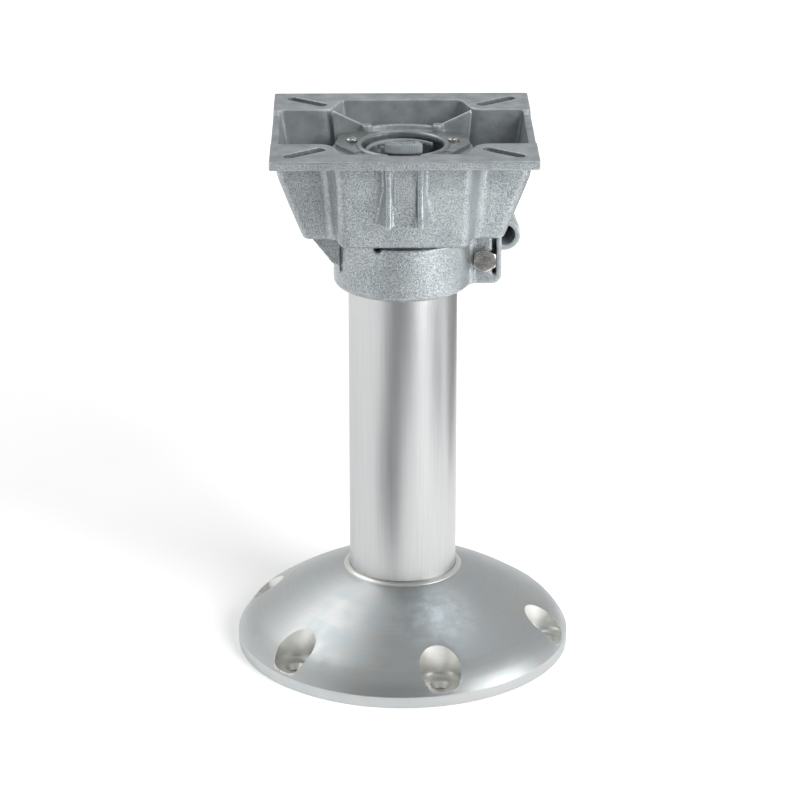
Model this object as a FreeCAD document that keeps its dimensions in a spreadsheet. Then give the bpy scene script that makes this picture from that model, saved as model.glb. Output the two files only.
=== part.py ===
import FreeCAD, Part
import math
import os

import Sketcher
from FreeCAD import Vector

# Boat seat pedestal: a turned base flange, a fixed column, and a swivelling cast seat mount
# whose split collar is squeezed round the column by a bolt and a lever.
# Millimetres, +Z up, the origin under the middle of the base, -Y towards the front.

sizeTable = {
    # base flange
    "base_radius": 114.3,
    "edge_height": 13.7,
    "edge_round": 13.0,
    "cone_top_height": 54.9,
    "cone_bend": 287.0,
    "neck_bevel": 0.7,
    "neck_wall": 4.5,
    "base_skin": 6.0,
    "rim_wall": 7.0,
    "socket_floor": 4.0,
    "socket_ledge": 5.0,
    "rib_thick": 4.0,
    "screw_inset": 12.7,
    "screw_count": 6,
    "screw_turn": 13.5,
    "screw_hole_radius": 3.4,
    "screw_sink_radius": 6.8,
    "recess_radius": 14.0,
    "recess_round": 4.5,
    "recess_floor": 9.3,
    "recess_wall": 3.0,
    # column
    "column_radius": 36.5,
    "column_wall": 3.2,
    "column_drop": 30.5,
    # seat mount: plate and funnel
    "total_height": 368.5,
    "plate_width": 172.0,
    "plate_depth": 164.0,
    "plate_thick": 6.3,
    "cast_wall": 4.0,
    "knee_drop": 23.5,
    "floor_drop": 68.2,
    "wing_top_depth": 88.0,
    "wing_low_width": 134.0,
    "wing_low_depth": 68.0,
    "middle_top_width": 88.0,
    "middle_top_root": 103.0,
    "middle_top_depth": 136.0,
    "middle_low_width": 83.0,
    "middle_low_root": 93.0,
    "middle_low_depth": 107.0,
    "outer_round": 6.0,
    "inward_round": 7.0,
    "foot_inset": 4.5,
    "foot_rise": 4.0,
    "end_wall_drop": 3.0,
    "end_wall_inset": 5.0,
    "end_wall_step": 0.9,
    "slot_half_width": 3.6,
    "slot_inset_x": 12.5,
    "slot_inset_y": 13.9,
    "slot_run_x": 19.5,
    "slot_run_y": 14.9,
    # seat mount: channel on the front wall
    "channel_half_width": 8.5,
    "channel_proud": 4.0,
    "channel_drop": 47.5,
    "channel_top_flank": 2.0,
    "channel_foot_flank": 9.0,
    "fin_thick": 4.0,
    "fin_top_rise": 2.0,
    "fin_foot_rise": 4.5,
    "notch_extra": 2.0,
    # seat mount: hub and collar
    "hub_wall": 8.0,
    "hub_drop": 15.5,
    "rim_lip_height": 4.0,
    "rim_lip_wall": 4.5,
    "rim_lip_angle": 30.0,
    "web_thick": 2.4,
    "web_inset": 1.0,
    "web_end_inset": 4.7,
    "post_inner": 20.3,
    "post_width": 6.5,
    "post_gap": 1.0,
    "post_length": 2.0,
    "post_height": 6.0,
    "collar_wall": 7.3,
    "collar_drop": 107.5,
    "collar_round": 4.0,
    "bushing_wall": 2.5,
    "ledge_lip": 6.5,
    "gusset_half_depth": 20.0,
    "gusset_drop": 89.0,
    # seat mount: clamp lug
    "lug_beyond": 11.1,
    "lug_half_depth": 15.5,
    "lug_rise": 2.6,
    "lug_round": 5.5,
    "split_half": 1.5,
    "relief_width": 3.0,
    "relief_hole_x": 17.3,
    "relief_hole_radius": 2.6,
    "head_recess": 1.8,
    "head_gap": 0.5,
    "slit_width": 2.7,
    "slit_depth": 12.0,
    "slit_rise": 6.4,
    # clamp bolt and lever
    "bolt_offset": 7.7,
    "bolt_rise": 17.7,
    "bolt_radius": 4.76,
    "bolt_hex": 14.4,
    "bolt_head": 6.2,
    "chamfer_deep": 1.6,
    "chamfer_wide": 2.8,
    "bolt_end": 2.0,
    "bolt_hole_gap": 0.4,
    "washer_radius": 10.0,
    "washer_thick": 2.5,
    "nut_depth": 10.0,
    "lever_gap": 0.6,
    "lever_thick": 12.5,
    "lever_hub_radius": 10.6,
    "lever_tip_x": 14.7,
    "lever_tip_z": 5.5,
    "lever_tip_radius": 10.6,
    "lever_wall": 3.6,
    "grip_length": 50.0,
    "grip_end_radius": 8.2,
    # retaining ring and its screws
    "ring_thick": 2.5,
    "ring_land": 9.5,
    "ring_inset": 9.5,
    "bead_width": 4.0,
    "bead_rise": 1.6,
    "bead_root": 1.0,
    "side_offset": 6.6,
    "side_y": 6.0,
    "side_radius": 10.8,
    "back_offset": 1.0,
    "back_y": 16.5,
    "back_radius": 15.0,
    "dimple_x": 28.3,
    "dimple_y": 17.5,
    "dimple_radius": 2.8,
    "dimple_deep": 0.5,
    "ring_screw_y": 9.7,
    "ring_screw_radius": 2.0,
    "ring_screw_head": 3.7,
    "ring_screw_flat": 2.6,
    "ring_screw_rise": 2.0,
    "ring_screw_dome": 4.0,
    "ring_screw_length": 8.0,
    # column insert, bushings and washer
    "insert_flange": 3.5,
    "insert_inset": 13.9,
    "insert_tube_wall": 2.4,
    "insert_depth": 38.0,
    "skirt_wall": 2.5,
    "skirt_depth": 26.0,
    "latch_height": 7.0,
    "latch_reach": 3.0,
    "latch_edge": 0.8,
    "latch_angle": 50.0,
    "bracket_height": 2.9,
    "bracket_angle": 46.0,
    "bracket_slot_x": 15.8,
    "bracket_slot_width": 2.2,
    "bracket_slot_deep": 3.0,
    "window_half": 14.0,
    "window_sill": 2.0,
    "thrust_thick": 2.5,
    "thrust_overlap": 2.0,
    "sleeve_inset": 2.5,
    "sleeve_clear": 0.8,
    "bushing_length": 30.0,
    # fits
    "running_gap": 0.08,
    "seat_gap": 0.05,
    "loose_gap": 0.5,
    # how far a cut runs on past the face that it opens
    "overrun": 5.0,
}

# sizes that follow from the ones above
followTable = {
    "neck_height": "cone_top_height + neck_bevel",
    "screw_circle": "base_radius - screw_inset",
    "column_top": "total_height - column_drop",
    "knee_height": "total_height - knee_drop",
    "floor_height": "total_height - floor_drop",
    "channel_foot": "total_height - channel_drop",
    "hub_top": "total_height - hub_drop",
    "collar_bottom": "total_height - collar_drop",
    "gusset_foot": "total_height - gusset_drop",
    "relief_height": "floor_height - relief_width",
    "ledge_height": "column_top + insert_flange + thrust_thick",
    "lug_bottom": "collar_bottom + lug_rise",
    "slit_foot": "lug_bottom + slit_rise",
    "bolt_z": "lug_bottom + bolt_rise",
    "collar_radius": "column_radius + bushing_wall + collar_wall",
    "hub_radius": "column_radius + bushing_wall + hub_wall",
    "ledge_radius": "column_radius - ledge_lip",
    "bolt_x": "collar_radius + bolt_offset",
    "lug_reach": "bolt_x + lug_beyond",
    "slot_outer_x": "plate_width / 2 - slot_inset_x",
    "slot_outer_y": "plate_depth / 2 - slot_inset_y",
    "slot_inner_x": "slot_outer_x - slot_run_x",
    "slot_inner_y": "slot_outer_y - slot_run_y",
    "channel_face": "middle_top_depth / 2 + channel_proud",
    "notch_half_width": "channel_half_width + notch_extra",
    "web_offset": "wing_top_depth / 2 - cast_wall - web_inset",
    "web_reach": "middle_top_root / 2 - web_end_inset",
    "post_near": "back_y + back_radius + post_gap",
    "ring_hole": "column_radius - ring_inset",
    "ring_radius": "ring_hole + ring_land",
    "side_x": "ring_hole + side_offset",
    "back_x": "ring_hole + back_offset",
    "insert_bore": "column_radius - insert_inset",
    "insert_foot": "column_top - insert_depth",
    "skirt_foot": "column_top - skirt_depth",
    "latch_hook": "hub_top + ring_thick + bead_rise + loose_gap",
    "latch_top": "latch_hook + latch_height",
    "latch_nose": "ring_hole + latch_reach",
    "bracket_top": "latch_hook + bracket_height",
    "sleeve_foot": "collar_bottom + sleeve_inset",
    "sleeve_top": "relief_height - sleeve_clear",
    "bushing_foot": "column_top - bushing_length",
}

# two lengths closer than this are the same
nearly = 0.01

doc = FreeCAD.newDocument("boat_seat_pedestal")


def fillSheet(sheet):
    cells = {name: str(value) for name, value in sizeTable.items()}
    cells.update({name: f"={formula}" for name, formula in followTable.items()})
    for row, (name, content) in enumerate(cells.items(), start=1):
        sheet.set(f"A{row}", name)
        sheet.set(f"B{row}", content)
        sheet.setAlias(f"B{row}", name)
    doc.recompute()


sheet = doc.addObject("Spreadsheet::Sheet", "sizes")
fillSheet(sheet)


class Size:
    # A size as the sheet's expression, with its value now for placing a sketch's first lines.
    def __init__(self, text, value):
        self.text = text
        self.value = value

    def __add__(self, other):
        other = asSize(other)
        return Size(f"({self.text} + {other.text})", self.value + other.value)

    def __sub__(self, other):
        other = asSize(other)
        return Size(f"({self.text} - {other.text})", self.value - other.value)

    def __mul__(self, other):
        other = asSize(other)
        return Size(f"({self.text} * {other.text})", self.value * other.value)

    def __truediv__(self, other):
        other = asSize(other)
        return Size(f"({self.text} / {other.text})", self.value / other.value)

    def __neg__(self):
        return Size(f"(0 - {self.text})", -self.value)


def asSize(number):
    return number if isinstance(number, Size) else Size(str(number), float(number))


def size(name):
    return Size(f"sizes.{name}", float(sheet.get(name)))


def around(radius, angle):
    # the point at this radius, with the angle in degrees from +X
    turn = math.radians(angle.value)
    x = Size(f"({radius.text} * cos({angle.text}))", radius.value * math.cos(turn))
    y = Size(f"({radius.text} * sin({angle.text}))", radius.value * math.sin(turn))
    return x, y


# Sketches

def newBody(label):
    body = doc.addObject("PartDesign::Body", label)
    body.Label = label
    return body


def newSketch(body, plane, offset=None):
    sketch = body.newObject("Sketcher::SketchObject", f"{body.Name}_sketch")
    origin = next(o for o in body.Origin.OriginFeatures if o.Role == plane)
    sketch.AttachmentSupport = [(origin, "")]
    sketch.MapMode = "FlatFace"
    if offset is not None:
        sketch.setExpression("AttachmentOffset.Base.z", asSize(offset).text)
    return sketch


def hold(sketch, kind, *where, by=None):
    # adds one constraint, bound to a size where it has one
    if by is None:
        sketch.addConstraint(Sketcher.Constraint(kind, *where))
        return
    index = sketch.addConstraint(Sketcher.Constraint(kind, *where, by.value))
    sketch.setExpression(f"Constraints[{index}]", by.text)


def holdPoint(sketch, geometry, position, x, y):
    for kind, axis, value in (("DistanceX", -2, x), ("DistanceY", -1, y)):
        if isinstance(value, (int, float)):
            hold(sketch, "PointOnObject", geometry, position, axis)
        else:
            hold(sketch, kind, -1, 1, geometry, position, by=value)


def plainPoint(x, y):
    return Vector(asSize(x).value, asSize(y).value, 0)


def addCircle(sketch, x, y, radius):
    circle = Part.Circle(plainPoint(x, y), Vector(0, 0, 1), radius.value)
    index = sketch.addGeometry(circle, False)
    holdPoint(sketch, index, 3, x, y)
    hold(sketch, "Radius", index, by=radius)


def arcBetween(centre, start, end, radius):
    first = math.atan2(start.y - centre.y, start.x - centre.x)
    last = math.atan2(end.y - centre.y, end.x - centre.x)
    if last < first:
        last += 2 * math.pi
    return Part.ArcOfCircle(Part.Circle(centre, Vector(0, 0, 1), radius), first, last)


def cornerArc(before, corner, after, radius):
    # where a round corner leaves its two sides, and the middle of its arc
    back = (before - corner).normalize()
    ahead = (after - corner).normalize()
    half = back.getAngle(ahead) / 2
    start = corner + back * (radius / math.tan(half))
    end = corner + ahead * (radius / math.tan(half))
    centre = corner + (back + ahead).normalize() * (radius / math.sin(half))
    return start, end, centre


def addOutline(sketch, corners):
    # A closed outline. A corner is (x, y), (x, y, round) or (x, y, None, bend), where bend is
    # the radius of the arc that runs from there to the next corner, its middle on the left.
    count = len(corners)
    corners = [tuple(c) + (None,) * (4 - len(c)) for c in corners]
    points = [plainPoint(c[0], c[1]) for c in corners]
    leave, arrive, middle = list(points), list(points), [None] * count
    for i, corner in enumerate(corners):
        if corner[2] is not None:
            arrive[i], leave[i], middle[i] = cornerArc(
                points[i - 1], points[i], points[(i + 1) % count], corner[2].value
            )
    sides = [addSide(sketch, leave[i], arrive[(i + 1) % count], corners[i][3]) for i in range(count)]
    for i, (x, y, rounding, bend) in enumerate(corners):
        before, after = sides[i - 1], sides[i]
        if rounding is None:
            hold(sketch, "Coincident", before[0], before[2], after[0], after[1])
            holdPoint(sketch, after[0], after[1], x, y)
            continue
        turn = (points[i] - points[i - 1]).cross(points[(i + 1) % count] - points[i]).z
        first, last = (arrive[i], leave[i]) if turn > 0 else (leave[i], arrive[i])
        arc = sketch.addGeometry(arcBetween(middle[i], first, last, rounding.value), False)
        ends = (1, 2) if turn > 0 else (2, 1)
        hold(sketch, "Tangent", before[0], before[2], arc, ends[0])
        hold(sketch, "Tangent", arc, ends[1], after[0], after[1])
        hold(sketch, "Radius", arc, by=rounding)
        apex = sketch.addGeometry(Part.Point(points[i]), True)
        hold(sketch, "PointOnObject", apex, 1, before[0])
        hold(sketch, "PointOnObject", apex, 1, after[0])
        holdPoint(sketch, apex, 1, x, y)


def addSide(sketch, start, end, bend):
    # a straight or bent side: its index, and which of its ends come first and last
    if bend is None:
        return sketch.addGeometry(Part.LineSegment(start, end), False), 1, 2
    chord = end - start
    left = Vector(-chord.y, chord.x, 0).normalize()
    away = math.sqrt(bend.value ** 2 - (chord.Length / 2) ** 2)
    if bend.value > 0:
        arc = arcBetween(start + chord / 2 + left * away, start, end, bend.value)
        ends = (1, 2)
    else:
        arc = arcBetween(start + chord / 2 - left * away, end, start, -bend.value)
        ends = (2, 1)
    index = sketch.addGeometry(arc, False)
    hold(sketch, "Radius", index, by=bend if bend.value > 0 else -bend)
    return index, ends[0], ends[1]


def addBelt(sketch, discs):
    # the line of a belt drawn tight round discs (x, y, radius) that are listed anticlockwise
    count = len(discs)
    centres = [plainPoint(d[0], d[1]) for d in discs]
    radii = [d[2].value for d in discs]
    normals = []
    for i in range(count):
        span = centres[(i + 1) % count] - centres[i]
        lean = (radii[i] - radii[(i + 1) % count]) / span.Length
        along = Vector(span).normalize()
        normals.append(Vector(along.y, -along.x, 0) * math.sqrt(1 - lean ** 2) + along * lean)
    arcs = []
    for i in range(count):
        start = centres[i] + normals[i - 1] * radii[i]
        end = centres[i] + normals[i] * radii[i]
        arcs.append(sketch.addGeometry(arcBetween(centres[i], start, end, radii[i]), False))
        holdPoint(sketch, arcs[i], 3, discs[i][0], discs[i][1])
        hold(sketch, "Radius", arcs[i], by=discs[i][2])
    for i in range(count):
        j = (i + 1) % count
        start = centres[i] + normals[i] * radii[i]
        end = centres[j] + normals[i] * radii[j]
        line = sketch.addGeometry(Part.LineSegment(start, end), False)
        hold(sketch, "Tangent", arcs[i], 2, line, 1)
        hold(sketch, "Tangent", line, 2, arcs[j], 1)


def box(x0, y0, x1, y1):
    return [(x0, y0), (x1, y0), (x1, y1), (x0, y1)]


# Features

def feature(body, kind, sketch, **settings):
    made = body.newObject(f"PartDesign::{kind}", f"{body.Name}_{kind}")
    made.Profile = sketch
    for name, value in settings.items():
        if isinstance(value, Size):
            made.setExpression(name, value.text)
        else:
            setattr(made, name, value)
    doc.recompute()
    return made


def pad(body, sketch, length, back=False, both=False):
    side = "Symmetric" if both else "One side"
    return feature(body, "Pad", sketch, Length=length, Reversed=back, SideType=side)


def pocket(body, sketch, length, back=False, both=False):
    # cuts, and makes sure that something was cut
    before = body.Tip.Shape.Volume
    side = "Symmetric" if both else "One side"
    made = feature(body, "Pocket", sketch, Length=length, Reversed=back, SideType=side)
    if made.Shape.Volume > before - 0.1:
        raise ValueError(f"{made.Name} cuts nothing")
    return made


def revolve(body, sketch, kind="Revolution", angle=360, both=False, back=False, axis="V_Axis"):
    made = feature(body, kind, sketch, Angle=angle, Midplane=both, Reversed=back)
    made.ReferenceAxis = (sketch, [axis])
    doc.recompute()
    return made


def repeat(body, originals, sketch, count):
    pattern = body.newObject("PartDesign::PolarPattern", f"{body.Name}_pattern")
    pattern.Originals = originals
    pattern.Axis = (sketch, ["N_Axis"])
    pattern.Angle = 360
    pattern.setExpression("Occurrences", count.text)
    body.Tip = pattern
    doc.recompute()


def mirror(body, originals, plane):
    made = body.newObject("PartDesign::Mirrored", f"{body.Name}_mirror")
    made.Originals = originals
    origin = next(o for o in body.Origin.OriginFeatures if o.Role == plane)
    made.MirrorPlane = (origin, [""])
    body.Tip = made
    doc.recompute()


def roundEdges(body, radius, wanted):
    # rounds the edges of the body so far that the test wants
    base = body.Tip
    names = [f"Edge{i}" for i, e in enumerate(base.Shape.Edges, start=1) if wanted(e)]
    made = body.newObject("PartDesign::Fillet", f"{body.Name}_fillet")
    made.Base = (base, names)
    made.setExpression("Radius", radius.text)
    doc.recompute()


def isCircleAt(edge, radius, height):
    # a circle of this radius round the column's axis, at this height
    curve = edge.Curve
    if not isinstance(curve, Part.Circle) or math.hypot(curve.Center.x, curve.Center.y) > nearly:
        return False
    return abs(curve.Radius - radius.value) < nearly and abs(curve.Center.z - height.value) < nearly


def copies(label, original, places):
    # copies of a body, each at its (x, y), as one group of separate solids
    group = doc.addObject("Part::Compound", label)
    links = []
    for number, (x, y) in enumerate(places, start=1):
        link = doc.addObject("App::Link", f"{label}_{number}")
        link.LinkedObject = original
        link.setExpression("Placement.Base.x", x.text)
        link.setExpression("Placement.Base.y", y.text)
        links.append(link)
    group.Links = links
    group.Label = label
    doc.recompute()
    return group


def cut(label, base, *tools):
    # the base less its tools, as the sub-part of this name
    for number, tool in enumerate(tools, start=1):
        last = number == len(tools)
        made = doc.addObject("Part::Cut", label if last else f"{label}_cut_{number}")
        made.Base = base
        made.Tool = tool
        made.Refine = True
        base = made
    base.Label = label
    doc.recompute()
    return base


# Sub-parts

def screwPlaces():
    # the deck screws' even pitch on their circle
    pitch = Size("360", 360.0) / size("screw_count")
    first = size("screw_turn") - 90
    return [around(size("screw_circle"), first + pitch * k) for k in range(int(sizeTable["screw_count"]))]


def makeBaseShell():
    # the turned outside of the flange, with the bore for the column
    body = newBody("flange_outside")
    column, rim = size("column_radius"), size("base_radius")
    ledge = column - size("socket_ledge")
    sketch = newSketch(body, "XZ_Plane")
    addOutline(sketch, [
        (ledge, 0),
        (rim, 0),
        (rim, size("edge_height"), size("edge_round"), size("cone_bend")),
        (column + size("neck_wall"), size("cone_top_height")),
        (column, size("neck_height")),
        (column, size("socket_floor")),
        (ledge, size("socket_floor")),
    ])
    revolve(body, sketch)
    return body


def makeBaseHollow():
    # what is cored out under the flange: the bosses round the recesses and the ribs stay
    body = newBody("flange_hollow")
    skin, rim = size("base_skin"), size("base_radius")
    column = size("column_radius")
    below = -size("overrun")
    sketch = newSketch(body, "XZ_Plane")
    addOutline(sketch, [
        (column + size("neck_wall"), below),
        (rim, below),
        (rim, size("edge_height") - skin, None, size("cone_bend")),
        (column + size("neck_wall"), size("cone_top_height") - skin),
    ])
    revolve(body, sketch)
    ground = newSketch(body, "XY_Plane", below)
    addCircle(ground, 0, 0, rim + size("overrun"))
    addCircle(ground, 0, 0, rim - size("rim_wall"))
    pocket(body, ground, size("neck_height"), back=True)
    x, y = screwPlaces()[0]
    ground = newSketch(body, "XY_Plane", below)
    addCircle(ground, x, y, size("recess_radius") + size("recess_wall"))
    boss = pocket(body, ground, size("neck_height"), back=True)
    sketch = newSketch(body, "XZ_Plane")
    addOutline(sketch, box(column, below, rim, size("neck_height")))
    rib = pocket(body, sketch, size("rib_thick"), both=True)
    repeat(body, [boss, rib], ground, size("screw_count"))
    return body


def makeScrewPockets():
    # what comes out for each deck screw: a round-cornered recess, a countersink and a hole
    body = newBody("screw_pocket")
    hole, sink = size("screw_hole_radius"), size("screw_sink_radius")
    floor, top = size("recess_floor"), size("neck_height")
    sketch = newSketch(body, "XZ_Plane")
    addOutline(sketch, [
        (0, -size("overrun")),
        (hole, -size("overrun")),
        (hole, floor - (sink - hole)),
        (sink, floor),
        (size("recess_radius"), floor, size("recess_round")),
        (size("recess_radius"), top),
        (0, top),
    ])
    revolve(body, sketch)
    return copies("screw_pockets", body, screwPlaces())


def makeBaseFlange():
    return cut("base_flange", makeBaseShell(), makeBaseHollow(), makeScrewPockets())


def makeColumn():
    body = newBody("column")
    foot = size("socket_floor")
    sketch = newSketch(body, "XY_Plane", foot)
    addCircle(sketch, 0, 0, size("column_radius"))
    addCircle(sketch, 0, 0, size("column_radius") - size("column_wall"))
    pad(body, sketch, size("column_top") - foot)
    return body


def plusCorners(wide, deep, root, front, middleDeep, less=None):
    # the funnel's outline at one height, less a wall all round: two wings, and a deeper middle
    # that narrows from its roots to its front and back
    less = less or Size("0", 0.0)
    x, y = wide / 2 - less, deep / 2 - less
    rootX, frontX, frontY = root / 2 - less, front / 2 - less, middleDeep / 2 - less
    convex = size("outer_round") - less
    hollow = size("inward_round") + less
    quarter = [(x, y, convex), (rootX, y, hollow), (frontX, frontY, convex)]
    corners = list(quarter)
    corners += [(-a, b, r) for a, b, r in reversed(quarter)]
    corners += [(-a, -b, r) for a, b, r in quarter]
    corners += [(a, -b, r) for a, b, r in reversed(quarter)]
    return corners


def topOutline(less=None):
    return plusCorners(
        size("plate_width") - size("end_wall_step") * 2, size("wing_top_depth"),
        size("middle_top_root"), size("middle_top_width"), size("middle_top_depth"), less,
    )


def lowOutline(less=None):
    return plusCorners(
        size("wing_low_width"), size("wing_low_depth"),
        size("middle_low_root"), size("middle_low_width"), size("middle_low_depth"), less,
    )


def outlineAt(body, height, corners):
    sketch = newSketch(body, "XY_Plane", height)
    addOutline(sketch, corners)
    return sketch


def addFunnel(body):
    # an upright stretch under the plate, a tapering one, and a foot rounded in two steps
    knee, floor = size("knee_height"), size("floor_height")
    rise, inset = size("foot_rise"), size("foot_inset")
    halfway = Size("(1 - cos(45))", 1 - math.cos(math.radians(45)))
    under = size("total_height") - size("plate_thick")
    pad(body, outlineAt(body, knee, topOutline()), under - knee)
    sections = [
        outlineAt(body, floor + rise, lowOutline()),
        outlineAt(body, floor + rise * halfway, lowOutline(inset * halfway)),
        outlineAt(body, floor, lowOutline(inset)),
    ]
    feature(body, "AdditiveLoft", outlineAt(body, knee, topOutline()), Sections=sections, Ruled=True)


def cutCavity(body):
    knee, wall = size("knee_height"), size("cast_wall")
    pocket(body, outlineAt(body, knee, topOutline(wall)), size("total_height") - knee, back=True)
    lower = outlineAt(body, size("floor_height") + wall, lowOutline(wall))
    feature(body, "SubtractiveLoft", outlineAt(body, knee, topOutline(wall)), Sections=[lower], Ruled=True)


def addPlate(body):
    under = size("total_height") - size("plate_thick")
    sketch = newSketch(body, "XY_Plane", under)
    x, y = size("plate_width") / 2, size("plate_depth") / 2
    addOutline(sketch, box(-x, -y, x, y))
    pad(body, sketch, size("plate_thick"))


def addChannelBlock(body):
    # the thick stretch of the front wall that stays upright while the wall leans in
    face = -size("channel_face")
    half = size("channel_half_width") + size("fin_thick")
    foot, head = half + size("channel_foot_flank"), half + size("channel_top_flank")
    inner = -(size("middle_low_depth") / 2)
    low = outlineAt(body, size("channel_foot"), [(-half, face), (half, face), (foot, inner), (-foot, inner)])
    inner = -(size("middle_top_depth") / 2 - size("cast_wall"))
    under = size("total_height") - size("plate_thick")
    high = outlineAt(body, under, [(-half, face), (half, face), (head, inner), (-head, inner)])
    feature(body, "AdditiveLoft", low, Sections=[high], Ruled=True)


def addFins(body):
    # the two upright fins beside the channel, deeper towards their feet
    face = size("channel_face")
    foot, head = size("channel_foot"), size("total_height") - size("plate_thick")
    sketch = newSketch(body, "YZ_Plane", size("channel_half_width"))
    addOutline(sketch, [
        (-face + size("cast_wall") / 2, foot),
        (-face + size("cast_wall") / 2, head),
        (-face - size("fin_top_rise"), head),
        (-face - size("fin_foot_rise"), foot),
    ])
    fin = pad(body, sketch, size("fin_thick"))
    mirror(body, [fin], "YZ_Plane")


def addCollar(body):
    sketch = newSketch(body, "XY_Plane", size("collar_bottom"))
    addCircle(sketch, 0, 0, size("collar_radius"))
    pad(body, sketch, size("floor_height") + size("cast_wall") - size("collar_bottom"))
    roundEdges(body, size("collar_round"), lambda e: isCircleAt(e, size("collar_radius"), size("collar_bottom")))


def addGussetAndLug(body):
    # the block that braces the collar on the left, and the clamp lug on the right
    floor = size("floor_height")
    inside = floor + size("cast_wall") / 2
    inner, edge = size("column_radius"), size("wing_low_width") / 2 - size("foot_inset")
    sketch = newSketch(body, "XZ_Plane")
    addOutline(sketch, [
        (-size("collar_radius"), size("gusset_foot")),
        (-inner, size("gusset_foot")),
        (-inner, inside),
        (-edge, inside),
        (-edge, floor),
    ])
    pad(body, sketch, size("gusset_half_depth") * 2, both=True)
    sketch = newSketch(body, "XZ_Plane")
    addOutline(sketch, [
        (inner, size("lug_bottom")),
        (size("lug_reach"), size("lug_bottom"), size("lug_round")),
        (size("lug_reach"), floor),
        (edge, floor),
        (edge, inside),
        (inner, inside),
    ])
    pad(body, sketch, size("lug_half_depth") * 2, both=True)


def cutChannel(body):
    # the channel's recess on the inside of the front wall
    foot = size("channel_foot") + size("cast_wall")
    sketch = newSketch(body, "XY_Plane", foot)
    half = size("notch_half_width")
    near = -(size("middle_low_depth") / 2 - size("cast_wall") * 2)
    addOutline(sketch, box(-half, -(size("channel_face") - size("cast_wall")), half, near))
    pocket(body, sketch, size("total_height") - foot, back=True)


def addHub(body):
    floor = size("floor_height") + size("cast_wall") / 2
    sketch = newSketch(body, "XY_Plane", floor)
    addCircle(sketch, 0, 0, size("hub_radius"))
    pad(body, sketch, size("hub_top") - floor)
    # a raised lip round the back of the hub
    outer, inner = size("hub_radius"), size("hub_radius") - size("rim_lip_wall")
    first, last = Size("90", 90.0) - size("rim_lip_angle"), size("rim_lip_angle") + 90
    sketch = newSketch(body, "XY_Plane", size("hub_top") - size("cast_wall"))
    addOutline(sketch, [
        (*around(outer, first), None, outer),
        around(outer, last),
        (*around(inner, last), None, -inner),
        around(inner, first),
    ])
    pad(body, sketch, size("rim_lip_height") + size("cast_wall"))


def addWebsAndPosts(body):
    # thin webs run from the hub to the back strip's corners, and round posts stand at their feet
    floor = size("floor_height") + size("cast_wall") / 2
    near, reach = size("post_inner") + size("post_width"), size("web_reach")
    sketch = newSketch(body, "XZ_Plane", -size("web_offset"))
    for side in (1, -1):
        corners = [
            (near, floor), (size("middle_low_root") / 2 - size("foot_inset"), floor),
            (reach, size("knee_height")), (reach, size("total_height")),
            (near, size("hub_top") + size("post_height")),
        ]
        addOutline(sketch, [(x * side, z) for x, z in corners])
    pad(body, sketch, size("web_thick"), both=True)
    sketch = newSketch(body, "XY_Plane", size("hub_top") - size("post_height"))
    half = size("post_width") / 2
    x, y = size("post_inner") + half, size("post_near") + half
    for side in (1, -1):
        addBelt(sketch, [(x * side, y, half), (x * side, y + size("post_length"), half)])
    pad(body, sketch, size("post_height") * 2)


def cutSlots(body):
    # a slanted bolt slot at each corner of the plate
    sketch = newSketch(body, "XY_Plane", size("total_height") - size("plate_thick"))
    half = size("slot_half_width")
    x0, y0 = size("slot_inner_x"), size("slot_inner_y")
    x1, y1 = size("slot_outer_x"), size("slot_outer_y")
    for fx, fy in ((1, 1), (-1, 1), (-1, -1), (1, -1)):
        addBelt(sketch, [(x0 * fx, y0 * fy, half), (x1 * fx, y1 * fy, half)])
    pocket(body, sketch, size("plate_thick"), back=True)


def cutEndWalls(body):
    # the walls between the two strips stand a little lower than the strips
    top, drop = size("total_height"), size("end_wall_drop")
    half = size("wing_top_depth") / 2 - size("cast_wall")
    inset = size("end_wall_inset")
    sketch = newSketch(body, "YZ_Plane")
    addOutline(sketch, [
        (-half + inset, top - drop), (half - inset, top - drop),
        (half, top + size("loose_gap")), (-half, top + size("loose_gap")),
    ])
    pocket(body, sketch, size("plate_width") + size("overrun"), both=True)


def cutBores(body):
    # the bore for the bushings, and the ledge that carries the mount
    bore = size("column_radius") + size("bushing_wall")
    sketch = newSketch(body, "XY_Plane", size("collar_bottom"))
    addCircle(sketch, 0, 0, bore)
    pocket(body, sketch, size("ledge_height") - size("collar_bottom"), back=True)
    sketch = newSketch(body, "XY_Plane", size("ledge_height"))
    addCircle(sketch, 0, 0, size("ledge_radius"))
    pocket(body, sketch, size("total_height") - size("ledge_height"), back=True)


def cutRelief(body):
    # a level slot frees the front half of the collar from the funnel, up to a drilled notch
    low, floor = size("relief_height"), size("floor_height")
    far = size("lug_reach") + size("overrun")
    inner = size("column_radius") - size("overrun")
    end = -size("relief_hole_x")
    sketch = newSketch(body, "XY_Plane", low)
    addOutline(sketch, [
        (end, -far), (far, -far), (far, size("split_half")),
        (inner, size("split_half")), (inner, -(inner / 2)), (end, -(inner / 2)),
    ])
    pocket(body, sketch, floor - low, back=True)
    sketch = newSketch(body, "XZ_Plane")
    addCircle(sketch, end, low, size("relief_hole_radius"))
    pocket(body, sketch, size("collar_radius") + size("cast_wall"), back=True)
    # the collar is split on the right, through the lug
    sketch = newSketch(body, "XZ_Plane")
    addOutline(sketch, box(inner, size("collar_bottom") - size("overrun"), far, floor))
    pocket(body, sketch, size("split_half") * 2, both=True)


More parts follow.
